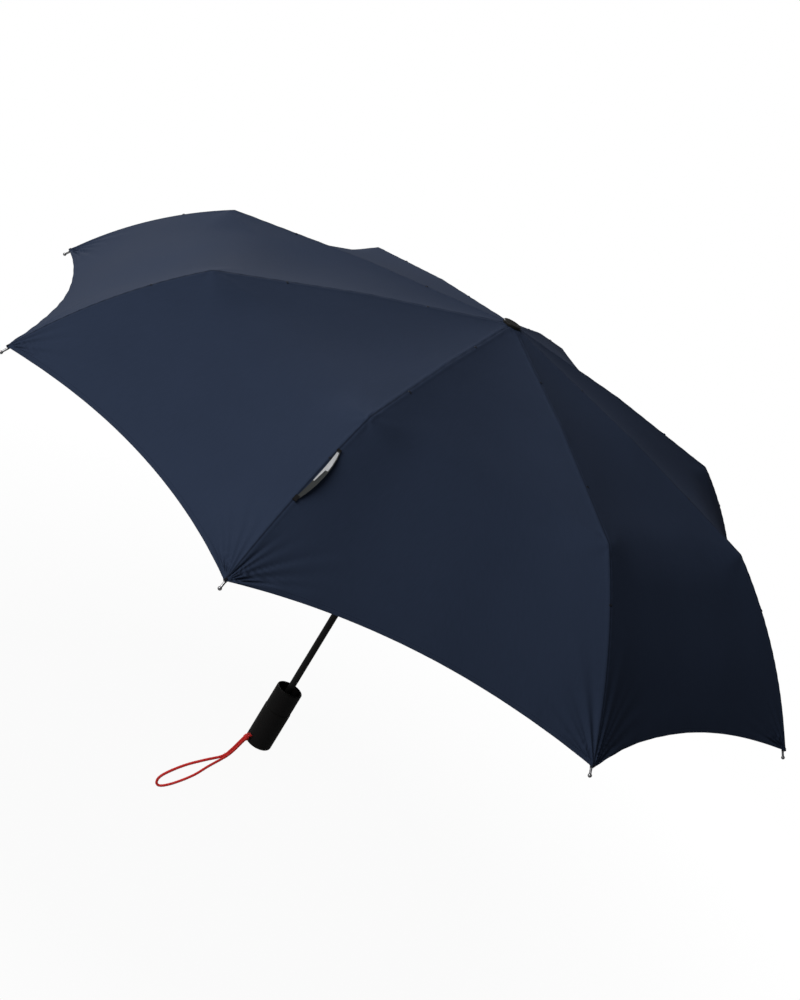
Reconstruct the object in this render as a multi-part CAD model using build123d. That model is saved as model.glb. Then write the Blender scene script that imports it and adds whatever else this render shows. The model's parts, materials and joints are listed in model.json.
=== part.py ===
from build123d import *
import math
import os

# Three-section folding umbrella, modelled open, in millimetres.
#
# Frame: the origin is the centre of the handle's flat end, and +Z runs up the shaft to the crown.
# Eight equal rib chains stand every 45 degrees, the first along +X. Each chain is drawn once in its own
# radial plane (X outward, Y across the rib, Z up) and turned into place.
#
# Folding one chain: the top rib swings down about the crown ring, the mid rib swings up over it and the
# end rib swings down again, so the closed chain is a zigzag along the shaft. The strut hinges on the
# top rib exactly halfway between crown ring and runner, so strut and top rib always lean equally.

# ---- driving dimensions ----
RIBS = 8
CROWN_Z = 579.0            # height of the cloth at the crown
CORNER = (490.0, -215.6)   # sewn corner of the cloth: radius, height below the crown
KNEE = (336.1, -66.0)      # cloth over the knee between mid rib and end rib
ELBOW = (175.0, -28.9)     # cloth over the elbow between top rib and mid rib
HEM_MIDDLE = (428.3, -203.0)  # deepest point of the scalloped hem between two ribs
CLOTH_GAP = 5.4            # cloth above the centre line of the ribs
CLOTH_THICK = 0.8
END_SAG = 10.0             # bow of the end rib over its chord
TIP_REACH = 7.0            # ball centre beyond the sewn corner

HANDLE_TOP = 80.0
GRIP_R = 16.2
GRIP_TOP = 51.0
GRIP_WALL = 2.0
END_CAP_R = 11.0           # hole for the flat end cap under the grip
GRIP_FLOOR = 4.0
CORE_FOOT = 13.0
TUBE_PIN_Z = 32.0
TUBE_PIN_R = 1.5
COLLAR_R = 15.7
CUP_R = 14.2
CUP_FLOOR = 62.0
BOSS_R = 6.2               # boss round the tube in the middle of the cup
BOSS_HIGH = 8.0
CORD_HOLE = (234.0, 9.5)   # azimuth and height of the wrist cord's hole
CORD_R = 1.45
CORD_SIDE = 1.6           # each strand beside the middle of the hole

LOWER_TUBE = (3.5, 4.0, 14.0, 237.5)    # inner radius, outer radius, bottom, top
MIDDLE_TUBE = (4.4, 4.9, 217.5, 386.0)
TOP_TUBE = (5.3, 5.8, 365.5, 576.0)

HINGE_R = 9.0              # crown ring and runner pins stand at this radius
CROWN_HINGE = -6.0         # height of the crown ring below the cloth
STRUT_LUG = (85.0, -5.0)   # strut hinge along and below the top rib
LUG_CLOSED = 0.4           # degrees off vertical of the lug line when folded
TAIL = 12.0                # strut beyond its hinge, up to the link
RIB_HALF = 1.8             # half width of the folded steel channels
RIB_HIGH = 1.4             # half height of the channels
SHEET = 0.5
PIVOT_RISE = 2.0           # elbow pin above the centre line, so that the folded ribs lie side by side
END_SIDE = -3.6            # the end rib runs beside the mid rib
LINK_SIDE = 3.4            # the link runs on the other side
MID_CLOSED = 89.2          # direction of the folded mid rib, degrees above horizontal
TIP_CLOSED_R = 9.6         # radius of the ball tips inside the handle's cup when folded
ROD_R = 1.2
BALL_R = 2.0
PIN_R = 0.6
RUN = 0.1                  # running clearance on a radius
FIT = 0.05                 # clearance between fixed plastic pieces
ROOT = 7.0                 # plain blade between a pin and the channel
BLADE = 0.9                # half width of a blade
EYE = 1.7                  # radius around a pin
FORK_IN = 2.0              # inner face of the strut's fork
FORK_OUT = 2.6
FORK_ROOT = 12.0           # the fork starts this far before the lug pin

HUB_R = 12.0               # crown hub and the runner's head
HUB_UNDER = 1.8            # top of the hub below the cloth
PEG_R = 3.0                # peg through the cloth
CAP_R = 10.4
CAP_HIGH = 3.0
RUNNER_FOOT = -35.0        # below the strut pins
RUNNER_HEAD = 3.0          # above the strut pins
RUNNER_SLEEVE = 6.95
RUNNER_FLARE = (9.4, 3.2)  # radius and height of the runner's foot
BUSH = (5.0, 12.0)         # collar below a tube's foot and sleeve inside it
LATCH_AZIMUTH = 22.5
LATCH_HIGH = 16.0
LATCH_OUT = 2.4

FLAT_R = 12.6              # the cloth lies flat under the cap
HOLE_R = 3.3               # hole in the cloth for the peg
STATIONS = (1, 3, 3, 7)    # facets along the cloth: under the cap, top rib, mid rib, end rib
ACROSS = 4                 # facets between two ribs
TWIST = -0.45              # the cloth's seams stand over the middle of the ribs, degrees
SADDLE = 11.0              # dip of the cloth between two ribs at the knee
STRAP_RIB = 6              # the closing strap lies along the end of this rib's seam, counted from 0
STRAP = (0.20, 0.48)       # where it starts and ends, as shares of the end rib
STRAP_WIDE = 11.0
STRAP_THICK = 1.4
STRAP_RISE = 2.4           # above the seam


# ---- plane geometry: points are (radius, height below the crown), directions in degrees above +X ----
def ahead(point, direction, distance, rise=0.0):
    """The point at a distance along a direction, and rise to the left of it."""
    c, s = math.cos(math.radians(direction)), math.sin(math.radians(direction))
    return (point[0] + distance * c - rise * s, point[1] + distance * s + rise * c)


def direction_of(start, end):
    return math.degrees(math.atan2(end[1] - start[1], end[0] - start[0]))


CROWN_PIN = (HINGE_R, CROWN_HINGE)
TOP_END = ahead(ELBOW, direction_of((0, 0), ELBOW), 0, -CLOTH_GAP)
TOP_DIR = direction_of(CROWN_PIN, TOP_END)
TOP_LENGTH = math.dist(CROWN_PIN, TOP_END)
ELBOW_PIN = ahead(TOP_END, TOP_DIR, 0, PIVOT_RISE)
MID_DIR = direction_of(ELBOW, KNEE)
MID_START = ahead(ELBOW_PIN, MID_DIR, 0, -PIVOT_RISE)
MID_LENGTH = math.dist(ELBOW, KNEE)
KNEE_PIN = ahead(MID_START, MID_DIR, MID_LENGTH)
END_CHORD = direction_of(KNEE, CORNER)
TIP = ahead(CORNER, END_CHORD - 8, TIP_REACH, -3.4)
END_LENGTH = math.dist(KNEE_PIN, TIP)
END_DIR = direction_of(KNEE_PIN, TIP)
END_RADIUS = END_LENGTH**2 / 8 / END_SAG + END_SAG / 2
END_SWING = math.degrees(math.asin(END_LENGTH / 2 / END_RADIUS))

# strut: mirror image of the crown-to-lug line, so the runner pin stays under the crown pin
LUG_PIN = ahead(CROWN_PIN, TOP_DIR, *STRUT_LUG)
LUG_REACH = math.dist(CROWN_PIN, LUG_PIN)
LUG_DIR = direction_of(CROWN_PIN, LUG_PIN)
STRUT_DIR = -LUG_DIR
RUNNER_PIN = (HINGE_R, CROWN_HINGE + 2 * LUG_REACH * math.sin(math.radians(LUG_DIR)))
RUNNER_TRAVEL = 2 * LUG_REACH * math.cos(math.radians(LUG_CLOSED)) + RUNNER_PIN[1] - CROWN_HINGE
STRUT_PIN = ahead(LUG_PIN, STRUT_DIR, TAIL)

# turns of each piece from open to folded, in degrees, positive lifting the outer end
TOP_TURN = -(90 - LUG_CLOSED) - LUG_DIR
STRUT_TURN = (90 - LUG_CLOSED) - STRUT_DIR
MID_TURN = MID_CLOSED - MID_DIR


def turned(point, centre, angle):
    c, s = math.cos(math.radians(angle)), math.sin(math.radians(angle))
    x, z = point[0] - centre[0], point[1] - centre[1]
    return (centre[0] + c * x - s * z, centre[1] + s * x + c * z)


ELBOW_CLOSED = turned(ELBOW_PIN, CROWN_PIN, TOP_TURN)
KNEE_CLOSED = ahead(ELBOW_CLOSED, MID_CLOSED, MID_LENGTH, -PIVOT_RISE)
END_DROP = math.sqrt(END_LENGTH**2 - (KNEE_CLOSED[0] - TIP_CLOSED_R) ** 2)
TIP_CLOSED = (TIP_CLOSED_R, KNEE_CLOSED[1] - END_DROP)
END_TURN = direction_of(KNEE_CLOSED, TIP_CLOSED) - END_DIR


STRUT_PIN_CLOSED = ahead(turned(LUG_PIN, CROWN_PIN, TOP_TURN), 90 - LUG_CLOSED, TAIL)


def link_pins(distance):
    """The link's pin on the mid rib, open and folded, at a distance from the elbow pin."""
    here = ahead(ELBOW_PIN, MID_DIR, distance, -PIVOT_RISE)
    there = ahead(ELBOW_CLOSED, MID_CLOSED, distance, -PIVOT_RISE)
    return here, there


def link_anchor():
    """The distance from the elbow pin at which the link is equally long open and folded."""

    def mismatch(distance):
        here, there = link_pins(distance)
        return math.dist(STRUT_PIN, here) - math.dist(STRUT_PIN_CLOSED, there)

    low, high = 4.0, 24.0
    for _ in range(60):
        middle = (low + high) / 2
        if (mismatch(middle) > 0) == (mismatch(high) > 0):
            high = middle
        else:
            low = middle
    return low


LINK_PIN, LINK_PIN_CLOSED = link_pins(link_anchor())
LINK_DIR = direction_of(STRUT_PIN, LINK_PIN)
LINK_LENGTH = math.dist(STRUT_PIN, LINK_PIN)
LINK_TURN = direction_of(STRUT_PIN_CLOSED, LINK_PIN_CLOSED) - LINK_DIR


# ---- solids in a rib's plane ----
def at(point, direction=0.0, side=0.0):
    """A place in the rib's plane whose X runs along the direction."""
    return Pos(point[0], side, CROWN_Z + point[1]) * Rot(0, -direction, 0)


def bar(point, direction, length, half_width, low, high, side=0.0):
    """A rectangular bar that starts at a point and runs along a direction, from low to high above it."""
    place = Pos(length / 2, side, (low + high) / 2)
    return at(point, direction) * place * Box(length, 2 * half_width, high - low)


def round_bar(point, direction, length, radius, side=0.0):
    """A round bar that starts at a point and runs along a direction."""
    return at(point, direction, side) * Rot(0, 90, 0) * upright(radius, 0, length)


def upright(radius, bottom, top):
    """A cylinder on the vertical axis, from one height to another."""
    return Pos(0, 0, (bottom + top) / 2) * Cylinder(radius, top - bottom)


def disc(point, radius, side_from, side_to):
    """A cylinder across the rib's plane."""
    middle = (side_from + side_to) / 2
    return at(point, 0, middle) * Rot(90, 0, 0) * Cylinder(radius, side_to - side_from)


def channel(point, direction, length):
    """A steel channel, open underneath."""
    outside = bar(point, direction, length, RIB_HALF, -RIB_HIGH, RIB_HIGH)
    inside = bar(point, direction, length, RIB_HALF - SHEET, -RIB_HIGH, RIB_HIGH - SHEET)
    return outside - inside


def rivet(point, reach):
    """A rivet across the plane with a head on each side, at reach from the middle."""
    head = 1.1
    shank = disc(point, PIN_R, -reach - 0.1, reach + 0.1)
    return shank + disc(point, head, reach, reach + SHEET) + disc(point, head, -reach - SHEET, -reach)


def top_rib():
    """Channel from the crown ring to the elbow, with the strut's lug under it and two elbow ears."""
    hole = disc(CROWN_PIN, PIN_R + RUN + 0.05, -BLADE - 1, BLADE + 1)
    blade = bar(CROWN_PIN, TOP_DIR, ROOT + 6, BLADE, -1.2, 1.2)
    blade += disc(CROWN_PIN, EYE, -BLADE, BLADE)
    blade -= hole
    start = ahead(CROWN_PIN, TOP_DIR, ROOT)
    body = channel(start, TOP_DIR, TOP_LENGTH - ROOT - 5) + blade
    foot = ahead(CROWN_PIN, TOP_DIR, STRUT_LUG[0])
    lug = bar(foot, TOP_DIR - 90, -STRUT_LUG[1], RIB_HALF, -3.0, 3.0)
    lug += disc(LUG_PIN, 2.4, -RIB_HALF, RIB_HALF)
    body += lug - disc(LUG_PIN, PIN_R + 0.02, -3, 3)
    for side in (-1, 1):
        across = side * (RIB_HALF - SHEET / 2)
        ear = bar(ahead(TOP_END, TOP_DIR, -9), TOP_DIR, 9, SHEET / 2, -RIB_HIGH, RIB_HIGH, across)
        rim = disc(ELBOW_PIN, EYE, across - SHEET / 2, across + SHEET / 2)
        neck = bar(ahead(TOP_END, TOP_DIR, -EYE), TOP_DIR, 2 * EYE, SHEET / 2, 0, PIVOT_RISE, across)
        body += (ear + rim + neck) - disc(ELBOW_PIN, PIN_R + 0.02, -3, 3)
    elbow_rivet = disc(ELBOW_PIN, PIN_R, -RIB_HALF - 0.1, RIB_HALF + 0.1)
    for side in (-1, 1):
        ends = sorted((side * (RIB_HALF + 0.05), side * (RIB_HALF + 0.45)))
        elbow_rivet += disc(ELBOW_PIN, 1.1, *ends)
    return [body, elbow_rivet]


def strut():
    """Stretcher from the runner to the top rib's lug, with a fork, a tail on the link's side and pins."""
    hub = ahead(LUG_PIN, STRUT_DIR, -LUG_REACH)
    root = LUG_REACH - FORK_ROOT
    body = bar(hub, STRUT_DIR, root, 1.0, -1.4, 1.4) + disc(hub, 1.8, -1.0, 1.0)
    body += bar(ahead(hub, STRUT_DIR, root - 5), STRUT_DIR, 7, FORK_OUT, -1.4, 1.4)
    for side in (-1, 1):
        across = side * (FORK_IN + FORK_OUT) / 2
        half = (FORK_OUT - FORK_IN) / 2
        reach = FORK_ROOT + (TAIL if side > 0 else 0)
        body += bar(ahead(hub, STRUT_DIR, root - 2), STRUT_DIR, reach + 2, half, -1.5, 1.5, across)
        end = STRUT_PIN if side > 0 else LUG_PIN
        body += disc(end, 1.6, across - half, across + half)
    body += disc(hub, 0.7, -1.9, 1.9)
    body -= disc(LUG_PIN, PIN_R + 0.02, -4, 4)
    link_pin = disc(STRUT_PIN, 0.5, FORK_OUT, LINK_SIDE + 0.9)
    return [body + link_pin, rivet(LUG_PIN, FORK_OUT + 0.02)]


def mid_rib():
    """Channel from the elbow to the knee, with the control wire that guides the end rib."""
    blade = bar(MID_START, MID_DIR, ROOT + 4, BLADE, -RIB_HIGH, 1.2)
    blade += disc(ELBOW_PIN, EYE, -BLADE, BLADE)
    blade += bar(ahead(MID_START, MID_DIR, -1.2), MID_DIR, 4.4, BLADE, 0, PIVOT_RISE)
    blade -= disc(ELBOW_PIN, PIN_R + RUN, -3, 3)
    start = ahead(MID_START, MID_DIR, ROOT)
    body = channel(start, MID_DIR, MID_LENGTH - ROOT + 2.2) + blade
    inside = RIB_HALF - SHEET
    body += bar(ahead(MID_START, MID_DIR, MID_LENGTH - 6), MID_DIR, 8.2, inside, -RIB_HIGH, RIB_HIGH)
    seat = bar(ahead(LINK_PIN, MID_DIR, -3), MID_DIR, 6, inside, -RIB_HIGH, 0)
    body += seat + disc(LINK_PIN, 0.5, inside, LINK_SIDE - 0.65)
    body += disc(KNEE_PIN, PIN_R, END_SIDE - ROD_R - 0.5, -inside)
    wire_start = ahead(MID_START, MID_DIR, 16, -RIB_HIGH - 0.6)
    return [body, round_bar(wire_start, MID_DIR, MID_LENGTH - 26, 0.45)]


def link():
    """Wire link from the strut's tail to the mid rib, with an eye at one end and a pad at the other."""
    rod = round_bar(ahead(STRUT_PIN, LINK_DIR, 1.0), LINK_DIR, LINK_LENGTH - 2.0, 0.55, LINK_SIDE)
    half = 0.6
    eye = disc(STRUT_PIN, 1.6, LINK_SIDE - half, LINK_SIDE + half)
    pad = disc(LINK_PIN, 1.6, LINK_SIDE - half, LINK_SIDE + half)
    head = disc(LINK_PIN, 0.9, LINK_SIDE + half, LINK_SIDE + half + 0.4)
    return [rod + eye + pad + head - disc(STRUT_PIN, 0.5 + RUN, 0, 6)]


def end_rib():
    """Bowed end rod from the knee to the cloth's corner, with its hinge eye, ball tip and sewing collar."""
    start = ahead(KNEE_PIN, END_DIR + END_SWING, 2.0)
    middle = ahead(KNEE_PIN, END_DIR, END_LENGTH / 2, END_SAG)
    path = ThreePointArc(*(Vector(p[0], END_SIDE, CROWN_Z + p[1]) for p in (start, middle, TIP)))
    rod = sweep(Plane(origin=path @ 0, z_dir=path % 0) * Circle(ROD_R), path=path)
    rod += disc(KNEE_PIN, 2.4, END_SIDE - ROD_R, END_SIDE + ROD_R)
    rod -= disc(KNEE_PIN, PIN_R + RUN, -9, 0)
    ball = at(TIP, 0, END_SIDE) * Sphere(BALL_R) - rod
    return [rod, ball]


def place(solids, number):
    """A rib chain's solids, turned to their azimuth, as one compound."""
    turn = Rot(0, 0, 360 / RIBS * number)
    return Compound(children=[turn * s for s in solids])


# ---- crown ----
def crown_notch():
    """Slotted plastic hub on top of the shaft that carries the eight ribs on a wire ring."""
    top, bottom = CROWN_Z - HUB_UNDER, CROWN_Z + CROWN_HINGE - 4.5
    middle, height = (top + bottom) / 2, top - bottom
    body = upright(HUB_R, bottom, top)
    body -= upright(TOP_TUBE[1], bottom, TOP_TUBE[3])
    slot = Pos(HINGE_R + 2, 0, middle - 1.2) * Box(8, 2 * BLADE + 0.4, height)
    mouth = Pos(HINGE_R + 4, 0, bottom + 1.5) * Box(8, 2 * RIB_HALF + 0.4, 3)
    for i in range(RIBS):
        body -= Rot(0, 0, 360 / RIBS * i) * (slot + mouth)
    body -= Pos(0, 0, CROWN_Z + CROWN_HINGE) * Torus(HINGE_R, PIN_R + FIT)
    return body + upright(PEG_R, top, top + 2.2)


def crown_ring():
    """Wire ring through the inner ends of the top ribs."""
    return Pos(0, 0, CROWN_Z + CROWN_HINGE) * Torus(HINGE_R, PIN_R)


def crown_washer():
    """Cloth protector between the hub and the canopy."""
    height = CROWN_Z - 1.3
    return upright(11.0, height - 0.4, height + 0.4) - upright(PEG_R + 0.2, height - 1, height + 1)


def crown_cap():
    """Round cap that clamps the cloth on the crown."""
    bottom = CROWN_Z + 0.3
    dome = upright(CAP_R, bottom, bottom + CAP_HIGH)
    dome = fillet(dome.edges().sort_by(Axis.Z)[-1], 1.2)
    return dome - upright(PEG_R + 0.1, bottom, bottom + 0.4)


# ---- shaft ----
def tube(inner, outer, bottom, top):
    return upright(outer, bottom, top) - upright(inner, bottom, top)


LATCH_TOP = CROWN_Z + RUNNER_PIN[1] + RUNNER_FOOT - 0.3


def top_tube():
    body = tube(*TOP_TUBE)
    slot = Pos(TOP_TUBE[1], 0, LATCH_TOP - LATCH_HIGH / 2) * Box(6, 2.6, LATCH_HIGH + 1.2)
    return body - Rot(0, 0, LATCH_AZIMUTH) * slot


def latch_spring():
    """Flat steel catch in the top tube that props the open runner and is pressed in to fold."""
    x0 = TOP_TUBE[1]
    with BuildPart() as wedge:
        with BuildSketch(Plane.XZ):
            with BuildLine():
                Polyline(
                    (x0 - 0.8, LATCH_TOP - LATCH_HIGH),
                    (x0 - 0.1, LATCH_TOP - LATCH_HIGH),
                    (x0 + LATCH_OUT, LATCH_TOP - 3),
                    (x0 + LATCH_OUT, LATCH_TOP),
                    (x0 - 0.8, LATCH_TOP),
                    close=True,
                )
            make_face()
        extrude(amount=1.1, both=True)
    return Rot(0, 0, LATCH_AZIMUTH) * wedge.part


def bush(passing_radius, holder):
    """Plastic ring at the foot of a tube that guides the thinner tube passing through it."""
    inner, outer, foot, _ = holder
    collar = upright(outer + 0.25, foot - BUSH[0], foot) + upright(inner, foot, foot + BUSH[1])
    return collar - upright(passing_radius + RUN, foot - BUSH[0], foot + BUSH[1])


# ---- runner ----
def runner():
    """Slider on the top tube. Eight open slots take the struts' cross pins in side grooves."""
    pin_z = CROWN_Z + RUNNER_PIN[1]
    bore = TOP_TUBE[1] + RUN

    def ring(radius, low, high):
        return upright(radius, pin_z + low, pin_z + high)

    body = ring(RUNNER_SLEEVE, RUNNER_FOOT, RUNNER_HEAD) + ring(HUB_R, -4.5, RUNNER_HEAD)
    flare = ring(RUNNER_FLARE[0], RUNNER_FOOT, RUNNER_FOOT + RUNNER_FLARE[1])
    body += fillet(flare.edges(), 1.2)
    body -= ring(bore, RUNNER_FOOT - 1, RUNNER_HEAD + 1)
    slot = Pos(RUNNER_SLEEVE + 4, 0, pin_z) * Box(8, 2.4, 20)
    groove = Pos(HINGE_R, 0, pin_z - 9.1) * Box(1.7, 4.1, 20)
    for i in range(RIBS):
        body -= Rot(0, 0, 360 / RIBS * i) * (slot + groove)
    keyway = Pos(bore, 0, pin_z - 16) * Box(2 * LATCH_OUT + 1.2, 2.8, 60)
    keyway &= ring(TOP_TUBE[1] + LATCH_OUT + 0.3, -56, 24)
    return body - Rot(0, 0, LATCH_AZIMUTH) * keyway


# ---- handle ----
def cord_bore():
    """Oval hole for two strands of the cord side by side."""
    azimuth, height = CORD_HOLE
    radius = CORD_R + 0.6
    oval = Box(10, 2 * CORD_SIDE, 2 * radius)
    for side in (-CORD_SIDE, CORD_SIDE):
        oval += Pos(0, side, 0) * Rot(0, 90, 0) * Cylinder(radius, 10)
    return Rot(0, 0, azimuth) * Pos(GRIP_R - 2, 0, height) * oval


def cross_hole(radius, length):
    """A round bar across the shaft at the height of the tube pin."""
    return Pos(0, 0, TUBE_PIN_Z) * Rot(90, 0, 0) * Cylinder(radius, length)


def handle_grip():
    """Soft-touch sleeve of the handle, closed round the end cap and drilled for the cord."""
    body = upright(GRIP_R, 0, GRIP_TOP)
    body = fillet(body.edges().sort_by(Axis.Z)[0], 2.6)
    body = fillet(body.edges().sort_by(Axis.Z)[-1], 0.6)
    body -= upright(GRIP_R - GRIP_WALL, GRIP_FLOOR, GRIP_TOP + 1)
    body -= upright(END_CAP_R, -1, GRIP_FLOOR + 1)
    return body - cord_bore()


def handle_base():
    """Flat end cap under the handle."""
    plug = upright(END_CAP_R - FIT, 0, GRIP_FLOOR)
    plug = chamfer(plug.edges().sort_by(Axis.Z)[0], 0.4)
    return plug + upright(GRIP_R - GRIP_WALL - FIT, GRIP_FLOOR, GRIP_FLOOR + 1.5)


def handle_core():
    """Moulded core that holds the lower tube inside the grip."""
    body = upright(GRIP_R - GRIP_WALL - FIT, CORE_FOOT, GRIP_TOP - 1)
    body += upright(10.0, GRIP_TOP - 1, CUP_FLOOR - 2 - FIT)
    body -= upright(LOWER_TUBE[1] + 0.02, LOWER_TUBE[2], CUP_FLOOR)
    return body - cross_hole(TUBE_PIN_R + FIT, 60)


def handle_cup():
    """Upper collar with the cup that takes the rib tips."""
    body = upright(COLLAR_R, GRIP_TOP + FIT, HANDLE_TOP)
    body = fillet(body.edges().sort_by(Axis.Z)[-1], 1.2)
    body -= upright(CUP_R, CUP_FLOOR, HANDLE_TOP + 1)
    body -= upright(10.0 + FIT, GRIP_TOP - 1, CUP_FLOOR - 2)
    boss = upright(BOSS_R, CUP_FLOOR - 2, CUP_FLOOR + BOSS_HIGH)
    boss = fillet(boss.edges().sort_by(Axis.Z)[-1], 0.8)
    return body + boss - upright(LOWER_TUBE[1] + FIT, GRIP_TOP, HANDLE_TOP)


def tube_pin():
    """Steel pin that fixes the lower tube in the core."""
    return cross_hole(TUBE_PIN_R, 24)


def lower_tube():
    return tube(*LOWER_TUBE) - cross_hole(TUBE_PIN_R + FIT, 20)


# the cord leaves its hole doubled and opens into a long loop; points are
# (distance out from the hole, height above the hole, sideways)
CORD_OUT = [(-1.2, 0, 0), (2.4, -1.2, 0), (5.2, -8, -0.2), (12.2, -26, 0.2), (18, -36.5, -0.6)]
LOOP_LOWER = [(29, -52.7, -1.5), (39.9, -70.2, -4), (54, -88, -9.4)]
LOOP_END = [(64.5, -98.2, -14.6), (69.5, -98.5, -18.2), (69, -91.5, -20.4)]
LOOP_UPPER = [(62, -80.5, -19), (48.5, -64.5, -14.5), (32.4, -49.2, -8)]


def cord_place(point, side=0.0):
    azimuth, height = CORD_HOLE
    a = math.radians(azimuth)
    out, across = GRIP_R + point[0], point[2] + side
    return Vector(
        out * math.cos(a) - across * math.sin(a),
        out * math.sin(a) + across * math.cos(a),
        height + point[1],
    )


CORD_RINGS = 72
CORD_SIDES = 8


def cord_path():
    outgoing = [cord_place(p, CORD_SIDE) for p in CORD_OUT]
    loop = [cord_place(p) for p in LOOP_LOWER + LOOP_END + LOOP_UPPER]
    back = [cord_place(p, -CORD_SIDE) for p in CORD_OUT][::-1]
    return Spline(*outgoing, *loop, *back)


def facets(a, b, c, d):
    """Two flat triangles over four corners."""
    return [Face(Wire.make_polygon(half, close=True)) for half in ([a, b, c], [a, c, d])]


def wrist_cord():
    """Round cord doubled through the handle's hole, ending in a loop for the wrist."""
    path = cord_path()
    across = cord_place((0, 0, 1)) - cord_place((0, 0, 0))
    rings = []
    for i in range(CORD_RINGS + 1):
        centre, along = path @ (i / CORD_RINGS), (path % (i / CORD_RINGS)).normalized()
        across = (across - along * across.dot(along)).normalized()
        other = along.cross(across)
        turns = [2 * math.pi * j / CORD_SIDES for j in range(CORD_SIDES)]
        rings.append([centre + (across * math.cos(t) + other * math.sin(t)) * CORD_R for t in turns])
    faces = []
    for near, far in zip(rings, rings[1:]):
        for j in range(CORD_SIDES):
            k = (j + 1) % CORD_SIDES
            faces += facets(near[j], near[k], far[k], far[j])
    for end in (rings[0], rings[-1]):
        faces.append(Face(Wire.make_polygon(end, close=True)))
    return Solid(Shell(faces))


# ---- cloth ----
def rib_line(span, t):
    """The cloth over a rib, part way along one of its four spans: (radius, height)."""
    bends = ((HOLE_R, 0.0), (FLAT_R, 0.0), ELBOW, KNEE, CORNER)
    start, stop = bends[span : span + 2]
    sag = END_SAG if span == 3 else 0.0
    return ahead(start, direction_of(start, stop), t * math.dist(start, stop), 4 * t * (1 - t) * sag)


def stations():
    """The cloth's stations from the crown to the hem: (radius, height, dip, share of the hem's pull)."""
    places = [(*rib_line(0, 0), 0.0, 0.0)]
    for span, steps in enumerate(STATIONS):
        for i in range(1, steps + 1):
            t = i / steps
            radius, height = rib_line(span, t)
            dip = SADDLE * min(1.0, max(0.0, radius - FLAT_R) / (KNEE[0] - FLAT_R))
            pull = t**1.6 if span == 3 else 0.0
            places.append((radius, height, dip * (1 - 0.6 * pull), pull))
    return places


def cloth_point(station, across, under):
    """A point of one gore, across from 0 at one rib to 1 at the next, about the gore's own middle."""
    half = math.pi / RIBS
    radius, height, dip, pull = station
    bulge = 4 * across * (1 - across)
    out = HEM_MIDDLE[0] - CORNER[0] * math.cos(half)
    down = HEM_MIDDLE[1] - CORNER[1]
    x = radius * math.cos(half) + bulge * (out * pull - 0.45 * dip * (1 - pull))
    y = radius * math.sin(half) * (2 * across - 1)
    z = CROWN_Z + height + bulge * (down * pull - 0.9 * dip * (1 - pull))
    return (x, y, z - (CLOTH_THICK if under else 0))


def canopy():
    """Cloth as one thin closed shell of flat facets, with the scalloped hem and the crown hole."""
    rows = stations()
    columns = RIBS * ACROSS

    def corner(column, row, under):
        gore, strip = divmod(column % columns, ACROSS)
        x, y, z = cloth_point(rows[row], strip / ACROSS, under)
        a = (2 * gore + 1) * math.pi / RIBS + math.radians(TWIST)
        return Vector(x * math.cos(a) - y * math.sin(a), x * math.sin(a) + y * math.cos(a), z)

    last = len(rows) - 1
    skins = ((0, 0), (0, 1), (1, 1), (1, 0))
    rim = ((0, False), (1, False), (1, True), (0, True))
    faces = []
    for c in range(columns):
        for r in range(last):
            for under in (False, True):
                faces += facets(*(corner(c + i, r + j, under) for i, j in skins))
        for r in (0, last):
            faces += facets(*(corner(c + i, r, under) for i, under in rim))
    return Solid(Shell(faces))


def tie_strap():
    """Closing strap, a folded band lying on the cloth beside the seam."""
    start, stop = rib_line(3, STRAP[0]), rib_line(3, STRAP[1])
    direction = direction_of(start, stop)
    length = math.dist(start, stop)
    beside = STRAP_WIDE / 2 - 1
    slab = bar(start, direction, length, STRAP_WIDE / 2, STRAP_RISE, STRAP_RISE + STRAP_THICK, beside)
    return Rot(0, 0, 360 / RIBS * STRAP_RIB) * slab


SINGLE_PARTS = {
    "handle_grip": handle_grip,
    "handle_cup": handle_cup,
    "handle_core": handle_core,
    "handle_base": handle_base,
    "tube_pin": tube_pin,
    "lower_tube": lower_tube,
    "middle_tube": lambda: tube(*MIDDLE_TUBE),
    "lower_bush": lambda: bush(LOWER_TUBE[1], MIDDLE_TUBE),
    "top_tube": top_tube,
    "upper_bush": lambda: bush(MIDDLE_TUBE[1], TOP_TUBE),
    "latch_spring": latch_spring,
    "runner": runner,
    "crown_notch": crown_notch,
    "crown_ring": crown_ring,
    "crown_washer": crown_washer,
    "crown_cap": crown_cap,
    "canopy": canopy,
    "tie_strap": tie_strap,
    "wrist_cord": wrist_cord,
}
RIB_PARTS = {"top_rib": top_rib, "strut": strut, "mid_rib": mid_rib, "link": link, "end_rib": end_rib}


def motion():
    """Travel from open to folded: slides in mm, and each hinge's turn about its parent in degrees."""
    return {
        "runner": RUNNER_TRAVEL,
        "top rib about crown": TOP_TURN,
        "strut about top rib": STRUT_TURN - TOP_TURN,
        "mid rib about top rib": MID_TURN - TOP_TURN,
        "end rib about mid rib": END_TURN - MID_TURN,
        "link about strut": LINK_TURN - STRUT_TURN,
    }


def main():
    os.makedirs("parts", exist_ok=True)
    for name, make in SINGLE_PARTS.items():
        export_step(make(), f"parts/{name}.step")
    for name, make in RIB_PARTS.items():
        solids = make()
        for number in range(RIBS):
            export_step(place(solids, number), f"parts/{name}_{number + 1}.step")
    for name, value in motion().items():
        print(f"{name}: {value:.3f}")


if __name__ == "__main__":
    main()
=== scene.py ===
import bpy
import json
import math
import numpy as np
from mathutils import Matrix, Vector


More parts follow.
